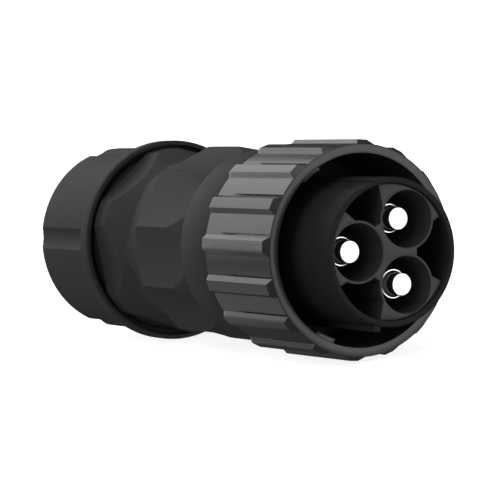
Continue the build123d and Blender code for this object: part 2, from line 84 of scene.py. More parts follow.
@dataclass(frozen=True)
class Plastic:
    """Finish of a moulded or rubber surface.

    Attributes:
        colour: Linear base colour.
        roughness: Mean roughness.
        grain: Size of the spark-eroded grain in millimetres.
        relief: Height of the grain in millimetres.
        mottle: Share by which colour and roughness wander.
        wear: Lightness added on rubbed places.
        specular: Specular level of the Principled shader.
        stretch: How far the grain is drawn out along the axis.
    """

    colour: tuple[float, float, float]
    roughness: float = 0.5
    grain: float = 0.22
    relief: float = 0.008
    mottle: float = 0.12
    wear: float = 0.0
    specular: float = 0.5
    stretch: float = 1.0


@dataclass(frozen=True)
class Metal:
    """Finish of a metal surface.

    Attributes:
        colour: Linear base colour.
        roughness: Mean roughness.
        lines: Spacing of the turning lines in millimetres.
        relief: Height of those lines in millimetres.
    """

    colour: tuple[float, float, float]
    roughness: float = 0.25
    lines: float = 0.08
    relief: float = 0.002


class Finish(Enum):
    """Every finish on the connector, by material name."""

    RING = Plastic((0.03, 0.027, 0.028), roughness=0.29, specular=0.62, grain=0.2, relief=0.006,
                   mottle=0.1, wear=0.25, stretch=3.0)
    HOUSING = Plastic((0.039, 0.039, 0.04), roughness=0.6, specular=0.12, grain=0.2, mottle=0.14, wear=0.12)
    NUT = Plastic((0.038, 0.038, 0.039), roughness=0.6, specular=0.12, grain=0.2, relief=0.007,
                  mottle=0.14, wear=0.12)
    SHROUD = Plastic((0.02, 0.02, 0.021), roughness=0.55, specular=0.12, grain=0.16, relief=0.005,
                     mottle=0.1, wear=0.1)
    CARRIER = Plastic((0.036, 0.036, 0.037), roughness=0.45, grain=0.14, relief=0.006)
    RUBBER = Plastic((0.012, 0.012, 0.012), roughness=0.72, specular=0.3, grain=0.3, relief=0.01, mottle=0.2)
    CAGE = Plastic((0.045, 0.045, 0.047), grain=0.2, relief=0.006)
    WASHER = Plastic((0.55, 0.54, 0.50), roughness=0.35, grain=0.3, relief=0.004)
    RETAINER = Plastic((0.03, 0.03, 0.03))
    SILVER = Metal((0.93, 0.92, 0.90), roughness=0.16)
    STEEL = Metal((0.55, 0.55, 0.55), roughness=0.3)


class Graph:
    """Adds the nodes of one tree and links them."""

    def __init__(self, tree: bpy.types.NodeTree) -> None:
        """Takes the tree."""
        self.tree = tree

    def set(self, node: bpy.types.Node, inputs: dict[str | int, Source]) -> bpy.types.Node:
        """Links each given input of a node to its source socket or gives it its value, and returns the node."""
        for key, source in inputs.items():
            if isinstance(source, bpy.types.NodeSocket):
                self.tree.links.new(source, node.inputs[key])
            else:
                node.inputs[key].default_value = source
        return node

    def add(self, kind: str, inputs: dict[str | int, Source] | None = None) -> bpy.types.Node:
        """Adds a shader node of a kind with its inputs."""
        return self.set(self.tree.nodes.new(f"ShaderNode{kind}"), inputs or {})

    def math(self, operation: str, first: Source, second: Source) -> bpy.types.NodeSocket:
        """Adds a Math node and returns its result."""
        node = self.add("Math", {0: first, 1: second})
        node.operation = operation
        return node.outputs[0]

    def noise(self, vector: bpy.types.NodeSocket, scale: Source, detail: float) -> bpy.types.NodeSocket:
        """Adds a noise and returns its factor."""
        return self.add("TexNoise", {"Vector": vector, "Scale": scale, "Detail": detail}).outputs["Fac"]

    def bump(self, height: Source, relief: Source, strength: float) -> bpy.types.NodeSocket:
        """Adds a bump whose relief is in millimetres and returns its normal."""
        metres = self.math("MULTIPLY", relief, MM)
        return self.add("Bump", {"Strength": strength, "Distance": metres, "Height": height}).outputs[0]

    def group(self, tree: bpy.types.NodeTree, inputs: dict[str | int, Source]) -> bpy.types.Node:
        """Adds one use of a node group."""
        node = self.add("Group")
        node.node_tree = tree
        return self.set(node, inputs)


@dataclass(frozen=True)
class Skin:
    """Values shared by every moulded skin.

    Attributes:
        broad: Noise scale and detail of the flow marks.
        middle: Noise scale and detail of the handling marks.
        fine: Noise detail of the grain.
        rub: Stretch of the middle noise over which rubbing sets in.
        strength: Strength of the bump.
    """

    broad: tuple[float, float] = (70.0, 2.0)
    middle: tuple[float, float] = (420.0, 4.0)
    fine: float = 2.0
    rub: tuple[float, float] = (0.58, 0.78)
    strength: float = 0.5


@dataclass(frozen=True)
class Lathe:
    """Values shared by every turned surface.

    Attributes:
        fine: Noise detail of the turning lines.
        slow: Noise scale and detail of the slow change in roughness.
        change: Least and most roughness that the slow change adds.
        strength: Strength of the bump.
    """

    fine: float = 1.0
    slow: tuple[float, float] = (300.0, 2.0)
    change: tuple[float, float] = (-0.06, 0.08)
    strength: float = 0.4


class Materials:
    """Makes each finish once, from two shared node groups."""

    # Colour sockets of the Mix node
    MIX_FIRST, MIX_SECOND, MIX_RESULT = 6, 7, 2

    def __init__(self) -> None:
        """Makes the node groups."""
        self._made: dict[Finish, bpy.types.Material] = {}
        self._skin = self._skin_group(Skin())
        self._turned = self._turned_group(Lathe())

    def get(self, finish: Finish) -> bpy.types.Material:
        """Returns the material of a finish, making it on first use."""
        if finish not in self._made:
            values = finish.value
            make = self._metal if isinstance(values, Metal) else self._plastic
            self._made[finish] = make(finish.name.lower(), values)
        return self._made[finish]

    @staticmethod
    def _group(name: str, inputs: dict[str, float], outputs: Sequence[str]) -> bpy.types.NodeTree:
        """Starts a node group whose inputs and outputs are numbers, but for a last output, the normal."""
        tree = bpy.data.node_groups.new(name, "ShaderNodeTree")
        for label, default in inputs.items():
            socket = tree.interface.new_socket(label, in_out="INPUT", socket_type="NodeSocketFloat")
            socket.default_value = default
        for label in outputs:
            tree.interface.new_socket(label, in_out="OUTPUT", socket_type="NodeSocketFloat")
        tree.interface.new_socket("Normal", in_out="OUTPUT", socket_type="NodeSocketVector")
        return tree

    def _skin_group(self, skin: Skin) -> bpy.types.NodeTree:
        """Spark-eroded moulded skin: a colour factor, a roughness offset, a mask of rubbed places and a normal.

        Three noises of different size are used: a broad one for flow marks, a middle one for handling marks
        and a fine one for the grain, which alone gives the bump.
        """
        tree = self._group("moulded_skin", {"Grain": 0.2, "Relief": 0.006, "Mottle": 0.1, "Stretch": 1.0},
                           ("Factor", "Rough", "Rub"))
        graph = Graph(tree)
        given = tree.nodes.new("NodeGroupInput").outputs
        where = graph.add("TexCoord").outputs["Object"]
        stretch = graph.add("CombineXYZ", {"X": given["Stretch"], "Y": 1.0, "Z": 1.0})
        squeeze = graph.add("VectorMath", {0: where, 1: stretch.outputs[0]})
        squeeze.operation = "DIVIDE"
        drawn = squeeze.outputs[0]
        broad = graph.noise(where, *skin.broad)
        middle = graph.noise(drawn, *skin.middle)
        fine = graph.noise(drawn, graph.math("DIVIDE", 1 / MM, given["Grain"]), skin.fine)
        centred = graph.math("SUBTRACT", graph.math("ADD", broad, middle), 1.0)
        amount = graph.math("MULTIPLY", centred, given["Mottle"])
        low, high = skin.rub
        rub = graph.add("MapRange", {"Value": middle, "From Min": low, "From Max": high})
        graph.set(tree.nodes.new("NodeGroupOutput"), {
            "Factor": graph.math("ADD", amount, 1.0), "Rough": amount, "Rub": rub.outputs[0],
            "Normal": graph.bump(fine, given["Relief"], skin.strength),
        })
        return tree

    def _turned_group(self, lathe: Lathe) -> bpy.types.NodeTree:
        """Turned metal: fine rings along the axis as a normal, and a slow roughness change."""
        tree = self._group("turned_metal", {"Spacing": 0.08, "Relief": 0.002}, ("Rough",))
        graph = Graph(tree)
        given = tree.nodes.new("NodeGroupInput").outputs
        where = graph.add("TexCoord").outputs["Object"]
        split = graph.add("SeparateXYZ", {0: where})
        along = graph.add("CombineXYZ", {"X": split.outputs["X"]}).outputs[0]
        rings = graph.noise(along, graph.math("DIVIDE", 1 / MM, given["Spacing"]), lathe.fine)
        low, high = lathe.change
        slow = graph.noise(where, *lathe.slow)
        change = graph.add("MapRange", {"Value": slow, "To Min": low, "To Max": high})
        graph.set(tree.nodes.new("NodeGroupOutput"), {
            "Rough": change.outputs[0], "Normal": graph.bump(rings, given["Relief"], lathe.strength),
        })
        return tree

    @staticmethod
    def _blank(name: str) -> tuple[bpy.types.Material, Graph, bpy.types.Node]:
        """Starts a material and returns it with its graph and its Principled node."""
        material = bpy.data.materials.new(name)
        material.use_nodes = True
        return material, Graph(material.node_tree), material.node_tree.nodes["Principled BSDF"]

    def _plastic(self, name: str, values: Plastic) -> bpy.types.Material:
        """Moulded plastic or rubber from the skin group."""
        material, graph, shader = self._blank(name)
        skin = graph.group(self._skin, {"Grain": values.grain, "Relief": values.relief,
                                        "Mottle": values.mottle, "Stretch": values.stretch}).outputs
        tint = graph.add("Mix")
        tint.data_type = "RGBA"
        rubbed = (min(1.0, c * (1 + values.wear)) for c in values.colour)
        graph.set(tint, {0: skin["Rub"], self.MIX_FIRST: (*values.colour, 1.0),
                         self.MIX_SECOND: (*rubbed, 1.0)})
        shade = graph.add("VectorMath")
        shade.operation = "SCALE"
        graph.set(shade, {0: tint.outputs[self.MIX_RESULT], "Scale": skin["Factor"]})
        rough = graph.math("ADD", skin["Rough"], values.roughness)
        rough.node.use_clamp = True
        graph.set(shader, {"Base Color": shade.outputs[0], "Roughness": rough, "Normal": skin["Normal"],
                           "Specular IOR Level": values.specular})
        return material

    def _metal(self, name: str, values: Metal) -> bpy.types.Material:
        """Turned metal from the turned group."""
        material, graph, shader = self._blank(name)
        lathe = graph.group(self._turned, {"Spacing": values.lines, "Relief": values.relief}).outputs
        rough = graph.math("ADD", lathe["Rough"], values.roughness)
        graph.set(shader, {"Base Color": (*values.colour, 1.0), "Metallic": 1.0, "Roughness": rough,
                           "Normal": lathe["Normal"]})
        return material


def rounded(points: Sequence[tuple[float, float]], radii: float | Sequence[float], steps: int = 3,
            closed: bool = True) -> np.ndarray:
    """Replaces the corners of a path by arcs.

    Each corner's arc touches both of its edges; where an edge is short, the arc shrinks so that it takes at
    most EDGE_SHARE of the edge.

    Args:
        points: Corners in order.
        radii: One radius for all corners, or one for each.
        steps: Segments in each arc.
        closed: Whether the last corner joins the first.

    Returns:
        The new path, one point a row.
    """
    corners = np.asarray(points, float)
    count = len(corners)
    sizes = np.broadcast_to(np.asarray(radii, float), (count,))
    path: list[np.ndarray] = []
    for i, (corner, size) in enumerate(zip(corners, sizes)):
        if size <= 0 or (not closed and i in (0, count - 1)):
            path.append(corner)
            continue
        before, after = corners[i - 1] - corner, corners[(i + 1) % count] - corner
        long_before, long_after = np.linalg.norm(before), np.linalg.norm(after)
        before, after = before / long_before, after / long_after
        half = math.acos(np.clip(before @ after, -1, 1)) / 2
        if half > math.pi / 2 - STRAIGHT or half < STRAIGHT:
            path.append(corner)
            continue
        reach = min(size / math.tan(half), EDGE_SHARE * min(long_before, long_after))
        middle = before + after
        centre = corner + middle / np.linalg.norm(middle) * reach / math.cos(half)
        start, end = corner + before * reach - centre, corner + after * reach - centre
        turn = math.atan2(start[0] * end[1] - start[1] * end[0], start @ end)
        for a in turn * np.arange(steps + 1) / steps:
            path.append(centre + np.array([start[0] * math.cos(a) - start[1] * math.sin(a),
                                           start[0] * math.sin(a) + start[1] * math.cos(a)]))
    return np.array(path)


def divided(path: np.ndarray, step: float, low: float = -math.inf, high: float = math.inf,
            closed: bool = True) -> np.ndarray:
    """Divides the long edges of a path whose first values lie between low and high.

    Args:
        path: Points, one a row.
        step: Longest edge allowed there.
        low: Start of the stretch.
        high: End of the stretch.
        closed: Whether the last point joins the first.

    Returns:
        The path with points added.
    """
    out, slack = [], 1e-6
    for i in range(len(path) if closed else len(path) - 1):
        a, b = path[i], path[(i + 1) % len(path)]
        out.append(a)
        inside = min(a[0], b[0]) >= low - slack and max(a[0], b[0]) <= high + slack
        parts = math.ceil(np.linalg.norm(b - a) / step) if inside else 1
        out.extend(a + (b - a) * k / parts for k in range(1, parts))
    if not closed:
        out.append(path[-1])
    return np.array(out)


def softened(a: np.ndarray, b: np.ndarray, size: float | np.ndarray) -> np.ndarray:
    """Smallest of two radii with the crossing rounded: minus size times log(exp(-a/size) + exp(-b/size))."""
    return -size * np.logaddexp(-a / size, -b / size)


def ramp(value: np.ndarray, start: float, end: float) -> np.ndarray:
    """Smooth step from 0 at start to 1 at end."""
    t = np.clip((value - start) / (end - start), 0.0, 1.0)
    return t * t * (3 - 2 * t)


def polar(radius: float | np.ndarray, angle: float | np.ndarray) -> np.ndarray:
    """Points (y, z) from radius and angle."""
    return np.stack([radius * np.cos(angle), radius * np.sin(angle)], -1)


def place(depth: np.ndarray, radius: np.ndarray, angle: np.ndarray,
          centre: Sequence[float] = (0.0, 0.0)) -> np.ndarray:
    """Points in metres from depth, and radius and angle about a centre (y, z)."""
    depth, radius, angle = np.broadcast_arrays(depth, radius, angle)
    return np.concatenate([-depth[..., None], polar(radius, angle) + np.asarray(centre)], -1) * MM


def hollow_radius(far: float, cutter: float, offset: np.ndarray) -> np.ndarray:
    """Radius at each angle of the near side of a round cutter whose middle lies off the axis.

    Args:
        far: Distance of the cutter's middle from the axis.
        cutter: Radius of the cutter.
        offset: Angle from the cutter's middle.
    """
    return far * np.cos(offset) - np.sqrt(np.clip(cutter**2 - (far * np.sin(offset)) ** 2, 0, None))


@dataclass
class Patch:
    """Points in metres and faces of one surface."""

    points: np.ndarray
    faces: list[tuple[int, ...]]

    @classmethod
    def grid(cls, sheet: np.ndarray, close_rows: bool = False) -> "Patch":
        """Joins a grid of points by quads, its last column to its first.

        Args:
            sheet: Points as rows by columns by 3.
            close_rows: Whether the last row joins the first.
        """
        rows, columns = sheet.shape[:2]
        row = np.arange(rows if close_rows else rows - 1)[:, None]
        column = np.arange(columns)[None, :]
        below, beside = (row + 1) % rows, (column + 1) % columns
        quads = np.stack([row * columns + column, row * columns + beside,
                          below * columns + beside, below * columns + column], -1)
        return cls(sheet.reshape(-1, 3), [tuple(quad) for quad in quads.reshape(-1, 4).tolist()])

    @classmethod
    def filled(cls, loops: Sequence[np.ndarray]) -> "Patch":
        """Fills the flat region between an outer loop and its holes with triangles."""
        work = bmesh.new()
        edges = []
        for loop in loops:
            corners = [work.verts.new(p) for p in loop]
            edges.extend(work.edges.new((corners[i - 1], corners[i])) for i in range(len(corners)))
        bmesh.ops.triangle_fill(work, use_beauty=True, edges=edges, normal=(1, 0, 0))
        work.verts.index_update()
        points = np.array([v.co[:] for v in work.verts])
        faces = [tuple(v.index for v in face.verts) for face in work.faces]
        work.free()
        return cls(points, faces)


class Piece:
    """One object made of patches."""

    def __init__(self, name: str) -> None:
        """Starts an empty piece."""
        self.name = name
        self._patches: list[Patch] = []

    def add(self, *patches: Patch) -> "Piece":
        """Adds surfaces to the piece and returns it."""
        self._patches.extend(patches)
        return self

    def build(self, material: bpy.types.Material, crease: float = 32.0) -> bpy.types.Object:
        """Makes the object.

        Args:
            material: Its one material.
            crease: Angle in degrees above which an edge stays sharp.

        Returns:
            The new object, linked to the scene.
        """
        points, faces, start = [], [], 0
        for patch in self._patches:
            points.append(patch.points)
            faces.extend(tuple(i + start for i in face) for face in patch.faces)
            start += len(patch.points)
        mesh = bpy.data.meshes.new(self.name)
        x, y, z = np.concatenate(points).T
        cosine, sine = math.cos(REST_TURN), math.sin(REST_TURN)
        mesh.from_pydata(np.stack([x, y * cosine - z * sine, y * sine + z * cosine], -1).tolist(), [], faces)
        work = bmesh.new()
        work.from_mesh(mesh)
        bmesh.ops.remove_doubles(work, verts=work.verts, dist=MERGE_DISTANCE)
        bmesh.ops.recalc_face_normals(work, faces=work.faces)
        work.to_mesh(mesh)
        work.free()
        mesh.polygons.foreach_set("use_smooth", np.ones(len(mesh.polygons), bool))
        mesh.set_sharp_from_angle(angle=math.radians(crease))
        mesh.materials.append(material)
        mesh.update()
        thing = bpy.data.objects.new(self.name, mesh)
        bpy.context.scene.collection.objects.link(thing)
        return thing


def round_columns(count: int, extra: Sequence[float] = ()) -> np.ndarray:
    """Even angles round the axis, with more at the given ones, in radians."""
    even = np.arange(count) * FULL_TURN / count
    wanted = np.radians(np.asarray(extra, float)) % FULL_TURN
    kept = [a for a in even if all(abs(a - w) > FULL_TURN / count / 8 for w in wanted)]
    return np.array(sorted([*kept, *wanted]))


def turned(points: Sequence[tuple[float, float]], radii: float | Sequence[float], angles: np.ndarray,
           steps: int = 3, shape: Callable[[np.ndarray, np.ndarray, np.ndarray], np.ndarray] | None = None,
           cuts: Sequence[tuple[float, float, float]] = ()) -> Patch:
    """Turns a closed outline of (depth, radius) points about the axis.

    Args:
        points: Corners of the outline.
        radii: Rounding of its corners.
        angles: Angle of each column in radians.
        steps: Segments in each rounded corner.
        shape: Gives the radius from depth, radius and angle grids.
        cuts: Stretches of depth (low, high, step) that need finer rows.

    Returns:
        The closed surface.
    """
    path = rounded(points, radii, steps)
    for low, high, step in cuts:
        path = divided(path, step, low, high)
    depth, radius, angle = np.broadcast_arrays(path[:, :1], path[:, 1:], angles[None, :])
    if shape is not None:
        radius = shape(depth, radius, angle)
    return Patch.grid(place(depth, radius, angle), close_rows=True)


def tube(depths: tuple[float, float], radii: tuple[float, float], edge: float, columns: int) -> Patch:
    """Plain tube with rounded edges from its two depths and its inner and outer radius."""
    front, back = depths
    inner, outer = radii
    return turned([(front, inner), (front, outer), (back, outer), (back, inner)], edge, round_columns(columns))


def block(depths: tuple[float, float], radii: tuple[float, float], middle: float, width: float,
          edge: float = 0.15) -> Patch:
    """Block with rounded edges that is bent round the axis.

    Args:
        depths: Its front and rear.
        radii: Its inner and outer radius.
        middle: Angle of its middle in degrees.
        width: Its width in degrees.
        edge: Radius of its edges.
    """
    corner, flat = ((0.0, 1.0), (0.3, 0.3), (1.0, 0.0)), 5
    spread, half = math.degrees(edge / radii[1]), width / 2
    ends = [half - share * spread for share, _ in corner]
    angles = [*(-end for end in ends), *np.linspace(-ends[-1], ends[-1], flat + 2)[1:-1], *reversed(ends)]
    insets = [share * edge for _, share in corner]
    insets = [*insets, *[0.0] * flat, *reversed(insets)]
    rows = []
    for offset, inset in zip(angles, insets):
        front, back = depths[0] + inset, depths[1] - inset
        inner, outer = radii[0] + inset, radii[1] - inset
        outline = rounded([(front, inner), (front, outer), (back, outer), (back, inner)],
                          max(edge - inset, 0.01), 2)
        rows.append(place(outline[:, 0], outline[:, 1], math.radians(middle + offset)))
    patch = Patch.grid(np.array(rows))
    columns, count = len(rows[0]), len(patch.points)
    patch.faces += [tuple(range(columns)), tuple(reversed(range(count - columns, count)))]
    return patch


def helix(depth: np.ndarray, angle: np.ndarray, lead: float) -> np.ndarray:
    """Height of a right-hand thread from 0 at the root to 1 at the crest, a triangle with both ends cut off."""
    phase = (-depth / lead - angle / FULL_TURN) % 1.0
    return np.clip(1.6 * (1 - np.abs(2 * phase - 1)) - 0.3, 0.0, 1.0)


@dataclass
class CouplingRing:
    """Ribbed ring that turns to lock.

    Each of its ribs has a flat top and two sloping sides, and a slit at the foot of the side that lies at the
    smaller angle. A cone cuts the front ends of the ribs. Widths across a rib are in degrees from its middle.
    """

    length: float = 23.5
    radius: float = 19.25
    bore: float = 17.5
    rib_radius: float = 20.0
    ribs: int = 16
    first_rib: float = 178.3
    top_before: float = 3.4
    top_after: float = 2.5
    foot_before: float = 5.9
    foot_after: float = 4.8
    foot_flat: float = 1.2
    rib_rounding: tuple[float, ...] = (0.0, 0.16, 0.16, 0.1, 0.0)
    slope: float = 1.4
    rim_radius: float = 19.15
    rim_bevel: float = 0.1
    grip_start: float = 2.0
    back_bevel: tuple[float, float] = (0.35, 0.315)
    flange: tuple[float, float] = (20.8, 22.2)
    journal: float = 14.45
    slit_width: float = 1.2
    slit_depth: float = 0.45
    slit_across: tuple[float, ...] = (0.02, 0.16, 0.5, 0.84, 0.98)
    slit_share: tuple[float, ...] = (0.0, 0.95, 1.0, 0.95, 0.0)
    slit_span: tuple[float, float] = (0.3, 17.5)
    slit_ends: tuple[float, float] = (0.15, 4.0)
    lugs: tuple[float, ...] = (6.5, 126.5, 246.5)
    lug_width: float = 14.0
    lug_depths: tuple[float, float] = (1.2, 4.5)
    lug_radius: float = 16.5
    edge: float = 0.14
    mouth_edge: float = 0.2
    crease: float = 24.0

    def _section(self) -> tuple[np.ndarray, np.ndarray, np.ndarray]:
        """Angles in degrees, radii and slit depths across one pitch."""
        per_degree = math.radians(self.radius)
        pitch = 360 / self.ribs
        slit = self.foot_before + self.slit_width
        corners = [(degrees * per_degree, radius) for degrees, radius in (
            (-self.foot_before, self.radius), (-self.top_before, self.rib_radius),
            (self.top_after, self.rib_radius), (self.foot_after, self.radius),
            (self.foot_after + self.foot_flat, self.radius),
        )]
        rib = divided(rounded(corners, self.rib_rounding, closed=False), 0.5, closed=False)
        wide = np.linspace(self.foot_after, pitch - slit, 7)[1:]
        wide = wide[wide > self.foot_after + self.foot_flat + 0.1]
        across, deep = np.array([self.slit_across, self.slit_share])
        angles = np.concatenate([across * self.slit_width - slit, rib[:, 0] / per_degree, wide])
        radii = np.concatenate([np.full(len(across), self.radius), rib[:, 1], np.full(len(wide), self.radius)])
        slits = np.concatenate([deep * self.slit_depth, np.zeros(len(angles) - len(deep))])
        return angles, radii, slits

    def surface(self) -> Patch:
        """Outer and inner surface as one closed grid.

        The outer radius is the smaller of the rib section and a cone that rises from the rim, less the slit.
        One row follows the crossing of the two round the ring, at the depth where the cone reaches each
        column's radius.
        """
        section, radii, slits = self._section()
        steps = self.first_rib + np.arange(self.ribs) * 360 / self.ribs
        angles = np.radians((steps[:, None] + section[None, :]).ravel())
        rib, slit = np.tile(radii, self.ribs), np.tile(slits, self.ribs)
        rise = (self.rib_radius - self.rim_radius) / self.slope
        crossing = (rib - self.rim_radius) / rise
        bevel, grip = self.rim_bevel, self.grip_start
        run, drop = self.back_bevel
        on_cone = bevel + (crossing - bevel) * np.array([0.35, 0.7, 1.0])[:, None]
        behind = crossing + (grip - crossing) * np.array([0.08, 0.4])[:, None]
        front = np.array([0.0, 0.3 * bevel, bevel])
        back = [*np.arange(grip, self.length - 1.0, 0.75), *(self.length - np.array([run, 0.12, 0.03, 0.0]))]
        level = np.ones(len(angles))
        depths = np.concatenate([front[:, None] * level, on_cone, behind, np.array(back)[:, None] * level])
        short = np.clip(bevel - depths, 0, None)
        round_front = bevel - np.sqrt(np.clip(bevel**2 - short**2, 0, None))
        round_back = drop * (np.clip(depths - (self.length - run), 0, None) / run) ** 2
        start, end = self.slit_span
        sets_in, runs_out = self.slit_ends
        reach = ramp(depths, start, start + sets_in) * np.clip((end - depths) / runs_out, 0, 1)
        outer = np.minimum(rib, self.rim_radius + rise * depths) - reach * slit - round_front - round_back
        near, far = self.flange
        inside = rounded(
            [(self.length, self.radius), (self.length, self.bore), (far, self.bore), (far, self.journal),
             (near, self.journal), (near, self.bore), (0.0, self.bore), (0.0, self.radius)],
            (0.0, *[self.edge] * 4, self.mouth_edge, self.edge, 0.0), closed=False,
        )[1:-1]
        sheets = [place(depths, outer, angles), place(inside[:, :1], inside[:, 1:], angles)]
        return Patch.grid(np.concatenate(sheets), close_rows=True)

    def build(self, materials: Materials) -> None:
        """Makes the ring with its lugs."""
        piece = Piece("ring_dressed").add(self.surface())
        for angle in self.lugs:
            piece.add(block(self.lug_depths, (self.lug_radius, self.bore + 0.25), angle, self.lug_width))
        thing = piece.build(materials.get(Finish.RING), self.crease)
        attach(thing, Body.RING.value)
        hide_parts("coupling_ring")


@dataclass
class FrontShroud:
    """Tube round the contacts with its key rib, recess, stop flange, journal and spigot."""

    front: float = -10.2
    radius: float = 13.3
    bore: float = 12.2
    rear_bore: float = 12.5
    stop: tuple[float, float] = (18.9, 20.1)
    stop_radius: float = 17.15
    journal: float = 14.4
    spigot_start: float = 24.4
    spigot_radius: float = 14.1
    end: float = 36.0
    step: float = 14.0
    clip: tuple[float, float, float] = (22.4, 23.25, 13.8)
    groove: tuple[float, float, float] = (25.4, 26.825, 13.2)
    roundings: tuple[float, ...] = (0.22, 0.35, 0.1, 0.15, 0.15, 0.05, 0.05, 0, 0, 0.05,
                                    0.05, 0.05, 0.05, 0, 0, 0.05, 0.2, 0.1, 0, 0.05)
    columns: int = 220
    recess: tuple[float, float] = (108.0, 123.0)
    recess_end: float = -5.0
    recess_depth: float = 0.35
    recess_sides: float = 0.15
    recess_foot: float = 0.06
    key_angle: float = 258.0
    key_width: float = 6.4
    key_depths: tuple[float, float] = (-9.8, 17.5)
    key_radius: float = 14.4
    seal_front: float = 17.8
    seal_radii: tuple[float, float] = (13.35, 17.1)

    def _recessed(self, depth: np.ndarray, radius: np.ndarray, angle: np.ndarray) -> np.ndarray:
        """Takes the recess out of the outer wall at the mouth."""
        degrees, (start, end) = np.degrees(angle), self.recess
        side, foot = self.recess_sides, self.recess_foot
        share = ramp(degrees, start - side, start + side) * (1 - ramp(degrees, end - side, end + side))
        share = share * (1 - ramp(depth, self.recess_end - foot, self.recess_end + foot))
        floor = self.radius - self.recess_depth
        cut = np.minimum(radius, floor + (radius - floor) * (1 - share))
        return np.where(radius > (self.radius + self.bore) / 2, cut, radius)

    def build(self, materials: Materials) -> None:
        """Makes the shroud and the face seal in front of its stop flange."""
        start, end, floor = self.groove
        clip_start, clip_end, clip_floor = self.clip
        outline = [
            (self.front, self.bore), (self.front, self.radius), (self.stop[0], self.radius),
            (self.stop[0], self.stop_radius), (self.stop[1], self.stop_radius), (self.stop[1], self.journal),
            (clip_start, self.journal), (clip_start, clip_floor), (clip_end, clip_floor),
            (clip_end, self.journal), (self.spigot_start, self.journal), (self.spigot_start, self.spigot_radius),
            (start, self.spigot_radius), (start, floor), (end, floor), (end, self.spigot_radius),
            (self.end, self.spigot_radius), (self.end, self.rear_bore), (self.step, self.rear_bore),
            (self.step, self.bore),
        ]
        edges = [a + share * self.recess_sides for a in self.recess for share in (-2, -1, 0, 1, 2)]
        piece = Piece("shroud_dressed").add(
            turned(outline, self.roundings, round_columns(self.columns, edges), shape=self._recessed,
                   cuts=[(self.front, self.recess_end + 3, 0.35)]),
            block(self.key_depths, (self.bore + 0.5, self.key_radius), self.key_angle, self.key_width),
        )
        thing = piece.build(materials.get(Finish.SHROUD))
        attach(thing, Body.HOUSING.value)
        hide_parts("front_shroud")
        seal = Piece("seal_dressed").add(
            tube((self.seal_front, self.stop[0]), self.seal_radii, 0.15, 160)
        ).build(materials.get(Finish.RUBBER))
        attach(seal, Body.HOUSING.value)
        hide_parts("interface_seal")


